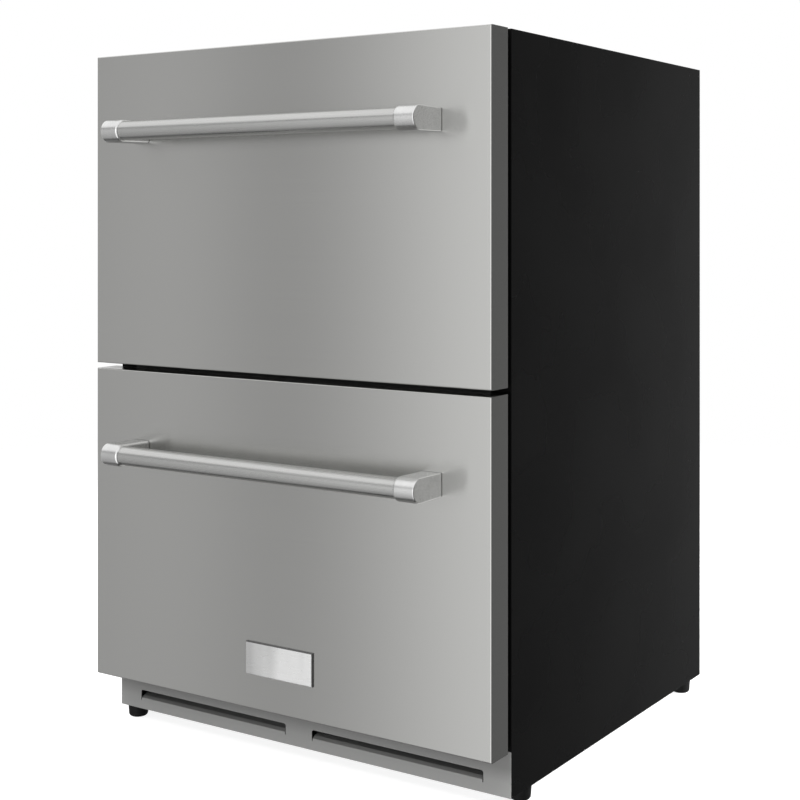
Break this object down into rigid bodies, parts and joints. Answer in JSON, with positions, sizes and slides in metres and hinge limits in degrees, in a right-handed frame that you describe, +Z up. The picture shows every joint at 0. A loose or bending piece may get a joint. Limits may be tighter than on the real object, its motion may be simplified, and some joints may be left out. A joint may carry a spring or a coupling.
{
  "type": "under counter fridge",
  "caption": "Under-counter refrigerator with stainless pull-out drawers, bar handles, a slotted kick plate, a black cabinet and levelling feet.",
  "frame": {"origin": "on the floor, under the middle of the outer box", "axes": "+Z up, drawers face -Y, +X to the right as seen from the front"},
  "size_m": [0.597, 0.652, 0.877],
  "materials": {
    "stainless": "fine horizontal brushing",
    "cast_metal": "satin, finely blasted",
    "badge_metal": "satin plate with bright bevels, no lettering",
    "black_steel": "satin black powder coat",
    "zinc_steel": "galvanised sheet",
    "slide_steel": "zinc plated",
    "fastener": "zinc plated",
    "black_plastic": "fine grained",
    "liner_plastic": "smooth vacuum-formed sheet",
    "bin_plastic": "smooth moulding",
    "insulation": "closed-cell foam",
    "gasket_rubber": "matt",
    "grommet_rubber": "matt",
    "finned_coil": "bare fins and tube",
    "copper": "drawn copper tube",
    "compressor_black": "semi-gloss enamel",
    "fan_plastic": "smooth moulding",
    "fan_frame": "fine grained",
    "pan_plastic": "smooth moulding",
    "frosted_cover": "frosted"
  },
  "bodies": {
    "cabinet": {"side_panel_right": "black_steel", "side_panel_left": "black_steel", "top_panel": "black_steel", "compartment_cover": "black_steel", "back_panel": "zinc_steel", "compartment_shell": "zinc_steel", "base_tray": "zinc_steel", "rear_screws": "fastener", "foot_nuts": "fastener", "cord_gland": "black_plastic", "face_frame": "black_plastic", "relay_cover": "black_plastic", "control_module": "black_plastic", "control_panel": "black_plastic", "mullion": "black_plastic", "kick_plate": "stainless", "inner_liner": "liner_plastic", "evaporator_cover": "liner_plastic", "cabinet_foam": "insulation", "evaporator_coil": "finned_coil", "condenser_coil": "finned_coil", "evaporator_fan_motor": "fan_frame", "condenser_fan_frame": "fan_frame", "compressor": "compressor_black", "compressor_grommets": "grommet_rubber", "drain_pan": "pan_plastic", "suction_line": "copper", "light_covers": "frosted_cover", "slide_outers": "slide_steel"},
    "upper_drawer": {"upper_drawer_front": "stainless", "upper_drawer_core": "insulation", "upper_drawer_inner_panel": "liner_plastic", "upper_gasket": "gasket_rubber", "upper_handle_bar": "stainless", "upper_handle_post_right": "cast_metal", "upper_handle_post_left": "cast_metal", "upper_drawer_screws": "fastener", "upper_drawer_frame": "slide_steel", "upper_bin": "bin_plastic", "upper_slide_inners": "slide_steel"},
    "upper_slide_middle": {"upper_slide_middles": "slide_steel"},
    "lower_drawer": {"lower_drawer_front": "stainless", "lower_drawer_core": "insulation", "lower_drawer_inner_panel": "liner_plastic", "lower_gasket": "gasket_rubber", "lower_handle_bar": "stainless", "lower_handle_post_right": "cast_metal", "lower_handle_post_left": "cast_metal", "lower_drawer_screws": "fastener", "lower_drawer_frame": "slide_steel", "lower_bin": "bin_plastic", "lower_slide_inners": "slide_steel", "badge_plate": "badge_metal"},
    "lower_slide_middle": {"lower_slide_middles": "slide_steel"},
    "foot_front_left": {"foot_front_left": "black_plastic"},
    "foot_front_right": {"foot_front_right": "black_plastic"},
    "foot_rear_left": {"foot_rear_left": "black_plastic"},
    "foot_rear_right": {"foot_rear_right": "black_plastic"},
    "evaporator_fan": {"evaporator_fan_blade": "fan_plastic"},
    "condenser_fan": {"condenser_fan_blade": "fan_plastic"}
  },
  "joints": [
    {"name": "upper_drawer_slide", "type": "slide", "parent": "cabinet", "child": "upper_drawer", "axis": [0, -1, 0], "range_m": [0, 0.4]},
    {"name": "upper_slide_middle_run", "type": "slide", "parent": "cabinet", "child": "upper_slide_middle", "axis": [0, -1, 0], "range_m": [0, 0.2]},
    {"name": "lower_drawer_slide", "type": "slide", "parent": "cabinet", "child": "lower_drawer", "axis": [0, -1, 0], "range_m": [0, 0.4]},
    {"name": "lower_slide_middle_run", "type": "slide", "parent": "cabinet", "child": "lower_slide_middle", "axis": [0, -1, 0], "range_m": [0, 0.2]},
    {"name": "evaporator_fan_spin", "type": "hinge", "parent": "cabinet", "child": "evaporator_fan", "pos_m": [0, 0.25, 0.59], "axis": [0, 1, 0], "continuous": true},
    {"name": "condenser_fan_spin", "type": "hinge", "parent": "cabinet", "child": "condenser_fan", "pos_m": [0.04, 0.225, 0.114], "axis": [1, 0, 0], "continuous": true},
    {"name": "foot_front_left_screw", "type": "slide", "parent": "cabinet", "child": "foot_front_left", "axis": [0, 0, -1], "range_m": [0, 0.018]},
    {"name": "foot_front_right_screw", "type": "slide", "parent": "cabinet", "child": "foot_front_right", "axis": [0, 0, -1], "range_m": [0, 0.018]},
    {"name": "foot_rear_left_screw", "type": "slide", "parent": "cabinet", "child": "foot_rear_left", "axis": [0, 0, -1], "range_m": [0, 0.018]},
    {"name": "foot_rear_right_screw", "type": "slide", "parent": "cabinet", "child": "foot_rear_right", "axis": [0, 0, -1], "range_m": [0, 0.018]}
  ],
  "couplings": [
    {"joint": "upper_slide_middle_run", "follows": "upper_drawer_slide", "ratio": 0.5},
    {"joint": "lower_slide_middle_run", "follows": "lower_drawer_slide", "ratio": 0.5}
  ]
}
